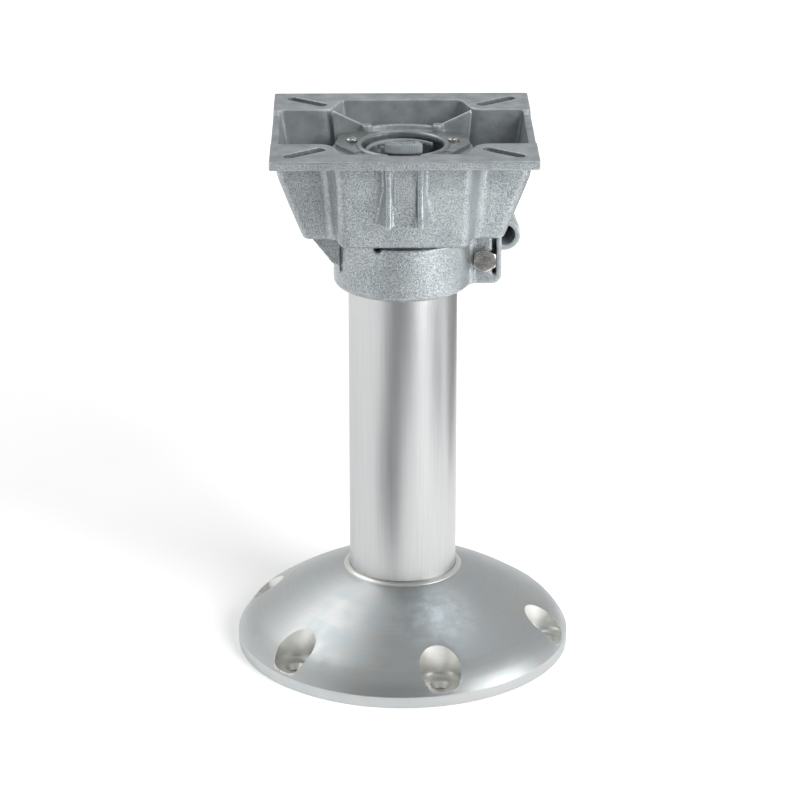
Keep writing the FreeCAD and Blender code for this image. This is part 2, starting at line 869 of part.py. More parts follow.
def cutLug(body):
    # the seat for the bolt's head, a rib left of it and a deep slit right of it
    face, depth = size("lug_half_depth"), size("head_recess")
    reach = size("bolt_hex") / 2 + size("head_gap")
    left, right = size("bolt_x") - reach, size("bolt_x") + reach
    top, foot = size("relief_height"), size("slit_foot")
    low, far = size("lug_bottom") - size("overrun"), size("lug_reach") + size("overrun")
    sketch = newSketch(body, "XZ_Plane", face - depth)
    addOutline(sketch, [(left, low), (far, low), (far, foot), (right, foot), (right, top), (left, top)])
    pocket(body, sketch, depth * 2, back=True)
    sketch = newSketch(body, "XZ_Plane", face)
    addOutline(sketch, box(right - size("slit_width"), foot, right, top))
    pocket(body, sketch, size("slit_depth"))
    sketch = newSketch(body, "XZ_Plane")
    addCircle(sketch, size("bolt_x"), size("bolt_z"), size("bolt_radius") + size("bolt_hole_gap"))
    pocket(body, sketch, (face + size("overrun")) * 2, both=True)


def ringScrewPlaces():
    return [(size("side_x") * side, size("ring_screw_y")) for side in (1, -1)]


def cutScrewHoles(body):
    sketch = newSketch(body, "XY_Plane", size("hub_top"))
    for x, y in ringScrewPlaces():
        addCircle(sketch, x, y, size("ring_screw_radius") + size("seat_gap"))
    pocket(body, sketch, size("ring_screw_length"))


def makeSeatMount():
    body = newBody("seat_mount")
    addPlate(body)
    addFunnel(body)
    addChannelBlock(body)
    addFins(body)
    addCollar(body)
    addGussetAndLug(body)
    cutCavity(body)
    cutChannel(body)
    addHub(body)
    addWebsAndPosts(body)
    cutSlots(body)
    cutEndWalls(body)
    cutBores(body)
    cutRelief(body)
    cutLug(body)
    cutScrewHoles(body)
    return body


def makeRetainingRing():
    # a plate with ears at its sides and back, and a raised bead round its hole
    body = newBody("retaining_ring")
    low, thick = size("hub_top"), size("ring_thick")
    side = (size("side_x"), size("side_y"), size("side_radius"))
    back = (size("back_x"), size("back_y"), size("back_radius"))
    sketch = newSketch(body, "XY_Plane", low)
    addBelt(sketch, [
        side, back, (-back[0], back[1], back[2]), (-side[0], side[1], side[2]),
        (0, 0, size("ring_radius")),
    ])
    pad(body, sketch, thick)
    top, root = low + thick, size("bead_root")
    hole, width, rise = size("ring_hole"), size("bead_width"), size("bead_rise")
    # the arc that rises this far over this width
    bend = rise / 2 + width * width / rise / 8
    sketch = newSketch(body, "XZ_Plane")
    addOutline(sketch, [
        (hole - root, top - root),
        (hole + width, top - root),
        (hole + width, top, None, bend),
        (hole, top),
        (hole - root, top),
    ])
    revolve(body, sketch)
    sketch = newSketch(body, "XY_Plane", low)
    addCircle(sketch, 0, 0, hole)
    pocket(body, sketch, thick + rise + size("overrun"), back=True)
    sketch = newSketch(body, "XY_Plane", low)
    for x, y in ringScrewPlaces():
        addCircle(sketch, x, y, size("ring_screw_radius") + size("loose_gap") / 2)
    pocket(body, sketch, thick, back=True)
    sketch = newSketch(body, "XY_Plane", top)
    for sign in (1, -1):
        addCircle(sketch, size("dimple_x") * sign, -size("dimple_y"), size("dimple_radius"))
    pocket(body, sketch, size("dimple_deep"))
    return body


def makeRingScrews():
    body = newBody("ring_screw")
    seat, foot = size("hub_top") + size("ring_thick"), size("hub_top") - size("ring_screw_length")
    shank, head, rise = size("ring_screw_radius"), size("ring_screw_head"), size("ring_screw_rise")
    tip = foot + size("loose_gap")
    sketch = newSketch(body, "XZ_Plane")
    addOutline(sketch, [
        (0, tip),
        (shank, tip),
        (shank, seat),
        (head, seat),
        (head, seat + rise / 2, None, size("ring_screw_dome")),
        (size("ring_screw_flat"), seat + rise),
        (0, seat + rise),
    ])
    revolve(body, sketch)
    return copies("ring_screws", body, ringScrewPlaces())


def makeInsert():
    # the moulded plug in the column's top, with the latch that hooks over the ring
    body = newBody("column_insert")
    bore = size("insert_bore")
    tube = bore + size("insert_tube_wall")
    seat = size("column_top")
    flange = seat + size("insert_flange")
    skirt = size("column_radius") - size("column_wall") - size("seat_gap")
    inner = skirt - size("skirt_wall")
    sketch = newSketch(body, "XZ_Plane")
    addOutline(sketch, [
        (bore, size("insert_foot")), (tube, size("insert_foot")), (tube, seat), (inner, seat),
        (inner, size("skirt_foot")), (skirt, size("skirt_foot")), (skirt, seat),
        (size("column_radius"), seat), (size("column_radius"), flange),
        (tube, flange), (tube, size("hub_top")), (bore, size("hub_top")),
    ])
    revolve(body, sketch)
    # the tube stands open on the right
    half, sill = size("window_half"), flange + size("window_sill")
    sketch = newSketch(body, "YZ_Plane")
    addOutline(sketch, box(-half, sill, half, size("hub_top") + size("overrun")))
    pocket(body, sketch, tube + size("overrun"), back=True)
    # the latch stands in the ring's hole and hooks over its bead
    shaft = size("ring_hole") - size("loose_gap")
    hook = size("latch_hook")
    nose, top, edge = size("latch_nose"), size("latch_top"), size("latch_edge")
    sketch = newSketch(body, "YZ_Plane")
    addOutline(sketch, [
        (-bore, seat), (-bore, top), (edge - nose, top), (-nose, top - edge),
        (-nose, hook + edge), (edge - nose, hook), (-shaft, hook), (-shaft, seat),
    ])
    revolve(body, sketch, angle=size("latch_angle"), both=True)
    # a lower bracket with an open slot stands left of the latch
    top = size("bracket_top")
    sketch = newSketch(body, "YZ_Plane")
    addOutline(sketch, box(-shaft, seat, -bore, top))
    revolve(body, sketch, angle=size("bracket_angle"), back=True)
    x, half = -size("bracket_slot_x"), size("bracket_slot_width") / 2
    sketch = newSketch(body, "XZ_Plane")
    addOutline(sketch, box(x - half, top - size("bracket_slot_deep"), x + half, top + size("overrun")))
    pocket(body, sketch, nose, back=True)
    return body


def makeSleeve(label, foot, top, split):
    # a bushing that lines the mount's bore and runs on the column
    body = newBody(label)
    sketch = newSketch(body, "XY_Plane", foot)
    addCircle(sketch, 0, 0, size("column_radius") + size("bushing_wall") - size("seat_gap"))
    addCircle(sketch, 0, 0, size("column_radius") + size("running_gap"))
    pad(body, sketch, top - foot)
    if split:
        sketch = newSketch(body, "XZ_Plane")
        over = size("overrun")
        addOutline(sketch, box(size("column_radius") - over, foot - over, size("collar_radius"), top + over))
        pocket(body, sketch, size("split_half") * 2, both=True)
    return body


def makeThrustWasher():
    body = newBody("thrust_washer")
    sketch = newSketch(body, "XY_Plane", size("column_top") + size("insert_flange"))
    addCircle(sketch, 0, 0, size("column_radius") + size("bushing_wall") - size("loose_gap"))
    addCircle(sketch, 0, 0, size("ledge_radius") - size("thrust_overlap"))
    pad(body, sketch, size("thrust_thick"))
    return body


def addHex(sketch, x, z, across):
    # a hexagon with upright flats on its left and right
    flat, point = across / 2, across / math.sqrt(3)
    addOutline(sketch, [
        (x + flat, z - point / 2), (x + flat, z + point / 2), (x, z + point),
        (x - flat, z + point / 2), (x - flat, z - point / 2), (x, z - point),
    ])


def makeClampBolt():
    body = newBody("clamp_bolt")
    x, z = size("bolt_x"), size("bolt_z")
    seat = size("lug_half_depth") - size("head_recess")
    sketch = newSketch(body, "XZ_Plane", seat)
    addHex(sketch, x, z, size("bolt_hex"))
    pad(body, sketch, size("bolt_head"))
    # the cone that takes the head's corners off
    face, flat = -(seat + size("bolt_head")), z + size("bolt_hex") / 2
    deep, wide = size("chamfer_deep"), size("chamfer_wide")
    sketch = newSketch(body, "YZ_Plane", x)
    axis = sketch.addGeometry(Part.LineSegment(plainPoint(face, z), plainPoint(0, z)), True)
    holdPoint(sketch, axis, 1, face, z)
    holdPoint(sketch, axis, 2, 0, z)
    addOutline(sketch, [(face, flat), (face + deep, flat + wide), (face, flat + wide)])
    revolve(body, sketch, kind="Groove", axis="Axis0")
    sketch = newSketch(body, "XZ_Plane", seat)
    addCircle(sketch, x, z, size("bolt_radius"))
    end = size("lug_half_depth") + size("washer_thick") + size("nut_depth") + size("bolt_end")
    pad(body, sketch, seat + end, back=True)
    return body


def makeLeverWasher():
    body = newBody("lever_washer")
    sketch = newSketch(body, "XZ_Plane", -size("lug_half_depth"))
    addCircle(sketch, size("bolt_x"), size("bolt_z"), size("washer_radius"))
    addCircle(sketch, size("bolt_x"), size("bolt_z"), size("bolt_radius") + size("running_gap") * 2)
    pad(body, sketch, size("washer_thick"), back=True)
    return body


def makeLeverNut():
    body = newBody("lever_nut")
    face = size("lug_half_depth") + size("washer_thick")
    sketch = newSketch(body, "XZ_Plane", -face)
    addHex(sketch, size("bolt_x"), size("bolt_z"), size("bolt_hex"))
    addCircle(sketch, size("bolt_x"), size("bolt_z"), size("bolt_radius") + size("running_gap"))
    pad(body, sketch, size("nut_depth"), back=True)
    return body


def makeLockLever():
    # a cranked lever: a boss round the nut, a short arm, and a hollow grip that runs backwards
    body = newBody("lock_lever")
    x, z = size("bolt_x"), size("bolt_z")
    tipX, tipZ = x + size("lever_tip_x"), z + size("lever_tip_z")
    face = size("lug_half_depth") + size("washer_thick") + size("lever_gap")
    sketch = newSketch(body, "XZ_Plane", -face)
    addCircle(sketch, x, z, size("lever_hub_radius"))
    pad(body, sketch, size("lever_thick"), back=True)
    sketch = newSketch(body, "XZ_Plane", -face)
    addBelt(sketch, [(x, tipZ, size("lever_tip_radius")), (tipX, tipZ, size("lever_tip_radius"))])
    pad(body, sketch, size("lever_thick"), back=True)
    near = newSketch(body, "XZ_Plane", -(face + size("lever_thick") / 2))
    addCircle(near, tipX, tipZ, size("lever_tip_radius"))
    far = newSketch(body, "XZ_Plane", -(face + size("grip_length")))
    addCircle(far, tipX, tipZ, size("grip_end_radius"))
    feature(body, "AdditiveLoft", near, Sections=[far], Ruled=True)
    sketch = newSketch(body, "XZ_Plane", -face)
    addHex(sketch, x, z, size("bolt_hex") + size("seat_gap") * 2)
    pocket(body, sketch, size("nut_depth"))
    sketch = newSketch(body, "XZ_Plane", -face)
    addCircle(sketch, x, z, size("bolt_radius") + size("loose_gap"))
    pocket(body, sketch, size("lever_thick") + size("overrun"))
    near = newSketch(body, "XZ_Plane", -face)
    addCircle(near, tipX, tipZ, size("lever_tip_radius") - size("lever_wall"))
    far = newSketch(body, "XZ_Plane", -(face + size("grip_length") - size("lever_wall")))
    addCircle(far, tipX, tipZ, size("grip_end_radius") - size("lever_wall"))
    feature(body, "SubtractiveLoft", near, Sections=[far], Ruled=True)
    return body


def checkAndWrite(parts):
    doc.recompute()
    for item in doc.Objects:
        if "Invalid" in item.State or "Error" in item.State:
            raise ValueError(f"{item.Name} failed: {item.State}")
    os.makedirs("parts", exist_ok=True)
    for part in parts:
        shape = part.Shape
        if shape.isNull() or not shape.isValid():
            raise ValueError(f"{part.Label} has no valid shape")
        shape.exportStep(f"parts/{part.Label}.step")
        print(part.Label, len(shape.Solids), "solid(s)", round(shape.Volume / 1000, 2), "cm3")


checkAndWrite([
    makeBaseFlange(),
    makeColumn(),
    makeInsert(),
    makeSeatMount(),
    makeRetainingRing(),
    makeRingScrews(),
    makeSleeve("friction_sleeve", size("sleeve_foot"), size("sleeve_top"), True),
    makeSleeve("upper_bushing", size("bushing_foot"), size("column_top"), False),
    makeThrustWasher(),
    makeClampBolt(),
    makeLeverWasher(),
    makeLeverNut(),
    makeLockLever(),
])
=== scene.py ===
import math

import bmesh
import bpy
from mathutils import Matrix, Vector


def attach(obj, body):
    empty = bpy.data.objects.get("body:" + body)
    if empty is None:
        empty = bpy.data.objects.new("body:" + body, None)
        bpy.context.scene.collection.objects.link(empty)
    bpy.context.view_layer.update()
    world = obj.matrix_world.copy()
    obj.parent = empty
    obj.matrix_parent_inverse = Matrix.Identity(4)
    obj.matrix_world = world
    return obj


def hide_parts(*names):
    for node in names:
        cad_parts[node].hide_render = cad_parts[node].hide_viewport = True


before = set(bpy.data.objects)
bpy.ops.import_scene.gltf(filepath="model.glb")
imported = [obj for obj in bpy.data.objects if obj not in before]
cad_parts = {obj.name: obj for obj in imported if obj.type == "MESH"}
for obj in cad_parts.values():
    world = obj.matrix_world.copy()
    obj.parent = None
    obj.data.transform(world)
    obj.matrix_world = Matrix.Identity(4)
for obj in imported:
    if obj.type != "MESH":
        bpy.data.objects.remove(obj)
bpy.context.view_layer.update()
mm = 0.001


# Small helpers

def linear(hexColour):
    # an sRGB hex colour as linear RGBA
    parts = [int(hexColour[i:i + 2], 16) / 255 for i in (1, 3, 5)]
    return [p / 12.92 if p <= 0.04045 else ((p + 0.055) / 1.055) ** 2.4 for p in parts] + [1.0]


def addNode(tree, kind, inputs=None, **settings):
    # a node with its settings; an input is a value, a hex colour, or a socket or node to link
    node = tree.nodes.new(kind)
    for name, value in settings.items():
        setattr(node, name, value)
    for name, value in (inputs or {}).items():
        if isinstance(value, bpy.types.Node):
            value = value.outputs[0]
        if isinstance(value, bpy.types.NodeSocket):
            tree.links.new(value, node.inputs[name])
        else:
            node.inputs[name].default_value = linear(value) if isinstance(value, str) else value
    return node


def newMaterial(name, shader):
    # a material with one Principled shader that has these constant values
    material = bpy.data.materials.new(name)
    material.use_nodes = True
    tree = material.node_tree
    tree.nodes.clear()
    surface = addNode(tree, "ShaderNodeBsdfPrincipled", shader)
    addNode(tree, "ShaderNodeOutputMaterial", {"Surface": surface})
    place = addNode(tree, "ShaderNodeTexCoord").outputs["Object"]
    return material, tree, surface, place


def twoTone(tree, pattern, span, low, high):
    # a colour that goes from low to high while the pattern rises over this span; the Mix node's
    # colour inputs are its 6th and 7th, and its colour output is its 2nd, counted from 0
    level = addNode(tree, "ShaderNodeMapRange", {
        "Value": pattern, "From Min": span[0], "From Max": span[1],
    })
    return addNode(tree, "ShaderNodeMix", {0: level, 6: low, 7: high}, data_type="RGBA").outputs[2]


# Materials

def makeHammerPaint():
    # Silver-grey hammer-finish stove enamel on die-cast aluminium. It pulls into small lumps about
    # a millimetre wide while it dries, so the light breaks up into a fine bright and dark mottle.
    # Edges are painted lighter, partly as rubbed paint and partly as painted edge highlights.
    paint = {"lump": 0.9, "depth": 0.26, "light": "#C9CFD1", "dark": "#7F878B", "cloud": 22.0,
             "edge": "#D2D8DA", "paintedLighter": (0.53, 0.6), "dull": 0.42, "shiny": 0.24}
    material, tree, surface, place = newMaterial("hammerPaint", {
        "Metallic": 0.65, "Coat Weight": 0.2, "Coat Roughness": 0.25,
    })
    lumps = addNode(tree, "ShaderNodeTexNoise", {
        "Vector": place, "Scale": 1 / (paint["lump"] * mm), "Detail": 3.0, "Roughness": 0.6,
    })
    clouds = addNode(tree, "ShaderNodeTexNoise", {
        "Vector": place, "Scale": 1 / (paint["cloud"] * mm), "Detail": 3.0,
    })
    mottle = addNode(tree, "ShaderNodeMapRange", {
        "Value": lumps, "From Min": 0.42, "From Max": 0.58, "To Max": 0.75,
    })
    drift = addNode(tree, "ShaderNodeMapRange", {
        "Value": clouds, "From Min": 0.3, "From Max": 0.7, "To Max": 0.25,
    })
    tone = addNode(tree, "ShaderNodeMath", {0: mottle, 1: drift}, operation="ADD")
    painted = addNode(tree, "ShaderNodeMix", {
        0: tone, 6: paint["dark"], 7: paint["light"],
    }, data_type="RGBA")
    edges = addNode(tree, "ShaderNodeNewGeometry").outputs["Pointiness"]
    # convex edges painted lighter: partly rubbed paint, partly painted edge highlights
    edged = twoTone(tree, edges, paint["paintedLighter"], painted.outputs[2], paint["edge"])
    shine = addNode(tree, "ShaderNodeMapRange", {
        "Value": lumps, "From Min": 0.35, "From Max": 0.65,
        "To Min": paint["dull"], "To Max": paint["shiny"],
    })
    relief = addNode(tree, "ShaderNodeBump", {"Height": lumps, "Distance": paint["depth"] * mm})
    tree.links.new(edged, surface.inputs["Base Color"])
    tree.links.new(shine.outputs[0], surface.inputs["Roughness"])
    tree.links.new(relief.outputs[0], surface.inputs["Normal"])
    return material


def makeCastSkin():
    # The casting's inside and its faced strips: the smooth grey skin that the die leaves, with
    # cold-flow clouds a centimetre wide, fine pits, and edges painted bright, partly as rubbed skin and
    # partly as painted edge highlights.
    skin = {"cloud": 12.0, "pit": 0.9, "depth": 0.03, "light": "#B2B7B9", "dark": "#91989B",
            "edge": "#D6DCDE", "paintedLighter": (0.52, 0.6), "dull": 0.5, "shiny": 0.36}
    material, tree, surface, place = newMaterial("castSkin", {"Metallic": 0.6})
    clouds = addNode(tree, "ShaderNodeTexNoise", {
        "Vector": place, "Scale": 1 / (skin["cloud"] * mm), "Detail": 5.0, "Roughness": 0.6,
    })
    pits = addNode(tree, "ShaderNodeTexNoise", {
        "Vector": place, "Scale": 1 / (skin["pit"] * mm), "Detail": 3.0, "Roughness": 0.6,
    })
    bare = twoTone(tree, clouds, (0.32, 0.68), skin["dark"], skin["light"])
    edges = addNode(tree, "ShaderNodeNewGeometry").outputs["Pointiness"]
    # convex edges painted lighter: partly rubbed skin, partly painted edge highlights
    edged = twoTone(tree, edges, skin["paintedLighter"], bare, skin["edge"])
    shine = addNode(tree, "ShaderNodeMapRange", {
        "Value": clouds, "From Min": 0.3, "From Max": 0.7,
        "To Min": skin["dull"], "To Max": skin["shiny"],
    })
    relief = addNode(tree, "ShaderNodeBump", {"Height": pits, "Distance": skin["depth"] * mm})
    tree.links.new(edged, surface.inputs["Base Color"])
    tree.links.new(shine.outputs[0], surface.inputs["Roughness"])
    tree.links.new(relief.outputs[0], surface.inputs["Normal"])
    return material


def makeAnodisedTube():
    # Clear-anodised drawn aluminium tube: draw lines run along it under a satin oxide layer, so
    # reflections smear across it into soft upright bands. Real draw lines are finer than 0.1 mm,
    # and these are drawn coarser so that they show.
    tube = {"line": 0.35, "length": 60.0, "depth": 0.004, "light": "#D0D1D1", "dark": "#C4C5C6",
            "shiny": 0.3, "dull": 0.38}
    material, tree, surface, place = newMaterial("anodisedTube", {"Metallic": 1.0, "Anisotropic": 0.3})
    drawn = addNode(tree, "ShaderNodeMapping", {
        "Vector": place, "Scale": (1.0, 1.0, tube["line"] / tube["length"]),
    })
    lines = addNode(tree, "ShaderNodeTexNoise", {
        "Vector": drawn, "Scale": 1 / (tube["line"] * mm), "Detail": 3.0, "Roughness": 0.6,
    })
    bands = twoTone(tree, lines, (0.35, 0.65), tube["dark"], tube["light"])
    shine = addNode(tree, "ShaderNodeMapRange", {
        "Value": lines, "From Min": 0.3, "From Max": 0.7,
        "To Min": tube["shiny"], "To Max": tube["dull"],
    })
    relief = addNode(tree, "ShaderNodeBump", {"Height": lines, "Distance": tube["depth"] * mm})
    tree.links.new(bands, surface.inputs["Base Color"])
    tree.links.new(shine.outputs[0], surface.inputs["Roughness"])
    tree.links.new(relief.outputs[0], surface.inputs["Normal"])
    return material


def makeTurnedBase():
    # Turned and satin-anodised aluminium: fine rings left by the lathe, whose feed of about 0.2 mm
    # is drawn at 0.6 mm so that it shows, and faint clouds in the oxide that turn a little blue
    # where the light catches them. A pale patch on the front of the slope is a painted highlight.
    turned = {"ring": 0.6, "depth": 0.006, "cloud": 14.0, "light": "#CED0CF", "blue": "#C7D0D4",
              "groove": "#8E9090", "grooved": 0.12, "shiny": 0.4, "dull": 0.47}
    # the painted highlight on the front of the slope: its middle, where it is full and where it ends, its
    # grain, and its colour
    paintedHighlight = {"at": (20.0, -60.0, 44.0), "full": 8.0, "end": 36.0, "grain": 9.0, "light": "#E4EBED"}
    material, tree, surface, place = newMaterial("turnedBase", {"Metallic": 1.0})
    parts = addNode(tree, "ShaderNodeSeparateXYZ", {"Vector": place})
    flat = addNode(tree, "ShaderNodeCombineXYZ", {"X": parts.outputs["X"], "Y": parts.outputs["Y"]})
    radius = addNode(tree, "ShaderNodeVectorMath", {0: flat}, operation="LENGTH").outputs["Value"]
    across = addNode(tree, "ShaderNodeCombineXYZ", {"X": radius, "Z": parts.outputs["Z"]})
    rings = addNode(tree, "ShaderNodeTexNoise", {
        "Vector": across, "Scale": 1 / (turned["ring"] * mm), "Detail": 3.0, "Roughness": 0.6,
    })
    clouds = addNode(tree, "ShaderNodeTexNoise", {
        "Vector": place, "Scale": 1 / (turned["cloud"] * mm), "Detail": 4.0, "Roughness": 0.6,
    })
    haze = twoTone(tree, clouds, (0.4, 0.75), turned["light"], turned["blue"])
    middle = tuple(Vector(paintedHighlight["at"]) * mm)
    away = addNode(tree, "ShaderNodeVectorMath", {0: place, 1: middle}, operation="DISTANCE")
    near = addNode(tree, "ShaderNodeMapRange", {
        "Value": away.outputs["Value"], "From Min": paintedHighlight["full"] * mm, "From Max": paintedHighlight["end"] * mm,
        "To Min": 1.0, "To Max": 0.0,
    })
    highlightBreakup = addNode(tree, "ShaderNodeTexNoise", {
        "Vector": place, "Scale": 1 / (paintedHighlight["grain"] * mm), "Detail": 5.0, "Roughness": 0.6,
    })
    streaks = addNode(tree, "ShaderNodeMapRange", {"Value": highlightBreakup, "From Min": 0.4, "From Max": 0.62})
    # how strongly the painted highlight is laid on
    paintedLighter = addNode(tree, "ShaderNodeMath", {0: near, 1: streaks}, operation="MULTIPLY")
    highlighted = addNode(tree, "ShaderNodeMix", {0: paintedLighter, 6: haze, 7: paintedHighlight["light"]}, data_type="RGBA")
    grooves = addNode(tree, "ShaderNodeMapRange", {
        "Value": rings, "From Min": 0.35, "From Max": 0.65,
        "To Min": turned["grooved"], "To Max": 0.0,
    })
    colour = addNode(tree, "ShaderNodeMix", {
        0: grooves, 6: highlighted.outputs[2], 7: turned["groove"],
    }, data_type="RGBA")
    shine = addNode(tree, "ShaderNodeMapRange", {
        "Value": clouds, "From Min": 0.3, "From Max": 0.7,
        "To Min": turned["shiny"], "To Max": turned["dull"],
    })
    relief = addNode(tree, "ShaderNodeBump", {"Height": rings, "Distance": turned["depth"] * mm})
    tree.links.new(colour.outputs[2], surface.inputs["Base Color"])
    tree.links.new(shine.outputs[0], surface.inputs["Roughness"])
    tree.links.new(relief.outputs[0], surface.inputs["Normal"])
    return material


def makeMilledRecess():
    # Bare milled aluminium, in the deck screws' bowls and on the lip round the column: bright metal
    # with faint cutter rings, so each bowl runs from light to dark across its curve.
    milled = {"step": 0.5, "depth": 0.02, "light": "#F0F0EC", "dark": "#DEDFDB", "long": 0.15}
    material, tree, surface, place = newMaterial("milledRecess", {"Metallic": 0.95, "Roughness": 0.38})
    cut = addNode(tree, "ShaderNodeMapping", {
        "Vector": place, "Scale": (milled["long"], milled["long"], 1.0),
    })
    rings = addNode(tree, "ShaderNodeTexNoise", {"Vector": cut, "Scale": 1 / (milled["step"] * mm)})
    bands = twoTone(tree, rings, (0.0, 1.0), milled["dark"], milled["light"])
    relief = addNode(tree, "ShaderNodeBump", {"Height": rings, "Distance": milled["depth"] * mm})
    tree.links.new(bands, surface.inputs["Base Color"])
    tree.links.new(relief.outputs[0], surface.inputs["Normal"])
    return material


def makeSmoothMaterial(name, shader, light, dark, grain, depth):
    # a plain finish with a faint grain of this width and depth, in millimetres
    material, tree, surface, place = newMaterial(name, shader)
    lumps = addNode(tree, "ShaderNodeTexNoise", {"Vector": place, "Scale": 1 / (grain * mm), "Detail": 3.0})
    relief = addNode(tree, "ShaderNodeBump", {"Height": lumps, "Distance": depth * mm})
    tree.links.new(twoTone(tree, lumps, (0.3, 0.7), dark, light), surface.inputs["Base Color"])
    tree.links.new(relief.outputs[0], surface.inputs["Normal"])
    return material


def makeMaterials():
    nylon = {"Roughness": 0.42, "IOR": 1.53}
    # Injection-moulded light grey nylon: matt, with soft edges to its highlights.
    greyNylon = makeSmoothMaterial("greyNylon", nylon, "#8E9598", "#7F8689", 3.0, 0.01)
    # The same nylon down inside the insert, painted dark as the shade in its bore.
    boreShade = {"Roughness": 0.55, "IOR": 1.53}
    shadedNylon = makeSmoothMaterial("shadedNylon", boreShade, "#5A6063", "#4A4F52", 4.0, 0.02)
    # Black nylon bushings, waxy from moulding.
    waxy = {"Roughness": 0.45, "IOR": 1.53}
    bushingNylon = makeSmoothMaterial("bushingNylon", waxy, "#3A3B3C", "#333435", 2.0, 0.01)
    # The die skin on the walls of the slots, painted dark as the shade that falls inside the slots.
    slotShade = {"Metallic": 0.5, "Roughness": 0.5}
    slotPaintedShade = makeSmoothMaterial("slotPaintedShade", slotShade, "#767D80", "#5E6568", 2.0, 0.02)
    # Bare die-cast aluminium ring, tumbled: grey with a dull shine.
    tumbled = {"Metallic": 0.8, "Roughness": 0.36}
    ringCast = makeSmoothMaterial("ringCast", tumbled, "#A1A7A8", "#8B9193", 5.0, 0.01)
    # Passivated stainless steel, cold headed: warm and shiny, a little blotchy.
    headed = {"Metallic": 1.0, "Roughness": 0.22}
    stainless = makeSmoothMaterial("stainless", headed, "#E4E2DD", "#A8A5A0", 2.2, 0.08)
    # The lever's powder coat: smooth, pale and slightly waxy, with fine orange peel.
    coated = {"Metallic": 0.5, "Roughness": 0.38}
    leverPaint = makeSmoothMaterial("leverPaint", coated, "#B4BABC", "#A3AAAC", 1.2, 0.04)
    return {
        "base_flange": makeTurnedBase(), "column": makeAnodisedTube(), "seat_mount": makeHammerPaint(),
        "castSkin": makeCastSkin(), "slotPaintedShade": slotPaintedShade, "milledRecess": makeMilledRecess(),
        "column_insert": greyNylon, "shadedNylon": shadedNylon,
        "retaining_ring": ringCast, "ring_screws": stainless,
        "friction_sleeve": bushingNylon, "upper_bushing": bushingNylon, "thrust_washer": bushingNylon,
        "clamp_bolt": stainless, "lever_washer": stainless, "lever_nut": stainless,
        "lock_lever": leverPaint,
    }


def wear(piece, *worn):
    # gives the piece these materials, the first of them all over it
    piece.data.materials.clear()
    for material in worn:
        piece.data.materials.append(material)
    for polygon in piece.data.polygons:
        polygon.material_index = 0


# Pieces that are dressed

def addObject(name, mesh):
    piece = bpy.data.objects.new(name, mesh)
    bpy.context.scene.collection.objects.link(piece)
    return piece


def smoothShaded(piece, sharp=None):
    # shades the faces smooth, and edges that turn by more degrees than this sharp
    for polygon in piece.data.polygons:
        polygon.use_smooth = True
    if sharp:
        piece.data.set_sharp_from_angle(angle=math.radians(sharp))


def mergedMesh(node):
    # a copy of a node's mesh with its loose triangles joined where their corners meet
    closer = 0.002  # millimetres
    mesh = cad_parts[node].data.copy()
    work = bmesh.new()
    work.from_mesh(mesh)
    bmesh.ops.remove_doubles(work, verts=work.verts, dist=closer * mm)
    work.to_mesh(mesh)
    work.free()
    return mesh


def finished(piece):
    # the piece with its modifiers turned into plain mesh
    bpy.context.view_layer.update()
    evaluated = piece.evaluated_get(bpy.context.evaluated_depsgraph_get())
    mesh = bpy.data.meshes.new_from_object(evaluated)
    piece.modifiers.clear()
    piece.data = mesh
    return piece


def standFor(piece, node, body):
    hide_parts(node)
    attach(piece, body)


def carve(piece, cutter):
    # cuts the cutter out of the piece, and removes it
    bpy.context.scene.collection.objects.link(cutter)
    modifier = piece.modifiers.new("carve", "BOOLEAN")
    modifier.object = cutter
    modifier.solver = "EXACT"
    modifier.operation = "DIFFERENCE"
    finished(piece)
    bpy.data.objects.remove(cutter)


def softened(node, name, soft, groove=None):
    # a casting or moulding with every edge and corner softened, as the die leaves them
    piece = addObject(name, mergedMesh(node))
    if groove:
        cutter = roundedBlock("groove", groove["deep"], groove["wide"], groove["high"], groove["edge"])
        middle = Vector(groove["at"]) - Vector((groove["wide"], 0, groove["high"])) / 2
        cutter.data.transform(Matrix.Translation(middle * mm))
        carve(piece, cutter)
    remesh = piece.modifiers.new("skin", "REMESH")
    remesh.mode = "VOXEL"
    remesh.voxel_size = soft["voxel"] * mm
    remesh.use_smooth_shade = True
    smooth = piece.modifiers.new("soften", "SMOOTH")
    smooth.factor = 0.5  # of the way to the neighbours' middle, at each pass
    smooth.iterations = soft["passes"]
    thin = piece.modifiers.new("thin", "DECIMATE")
    thin.ratio = soft["keep"]
    smoothShaded(finished(piece))
    return piece


def bevelled(piece, edge):
    # a small bevel along the sharp edges of a machined piece
    bevel = piece.modifiers.new("edges", "BEVEL")
    bevel.width = edge["width"] * mm
    bevel.segments = 2
    bevel.limit_method = "ANGLE"
    bevel.angle_limit = math.radians(edge["from"])
    smoothShaded(finished(piece), edge["from"])


def plainCopy(node, name):
    # a copy of a node with its flat faces whole again, ready for a bevel
    flat = 0.6  # degrees
    mesh = mergedMesh(node)
    work = bmesh.new()
    work.from_mesh(mesh)
    bmesh.ops.dissolve_limit(work, angle_limit=math.radians(flat), verts=work.verts, edges=work.edges)
    work.to_mesh(mesh)
    work.free()
    return addObject(name, mesh)


def easeKnee(piece, cast):
    # the walls bend gently at their knee, so their middle leans in a little, hub and collar apart
    for vert in piece.data.vertices:
        x, y, z = vert.co / mm
        away = min(max((math.hypot(x, y) - cast["hub"]) / cast["fade"], 0), 1)
        rise = (z - cast["foot"]) / (cast["knee"] - cast["foot"])
        fall = (cast["under"] - z) / (cast["under"] - cast["knee"])
        lean = cast["ease"] * away * max(min(rise, fall), 0)
        vert.co.x -= x * lean * mm
        vert.co.y -= y * lean * mm


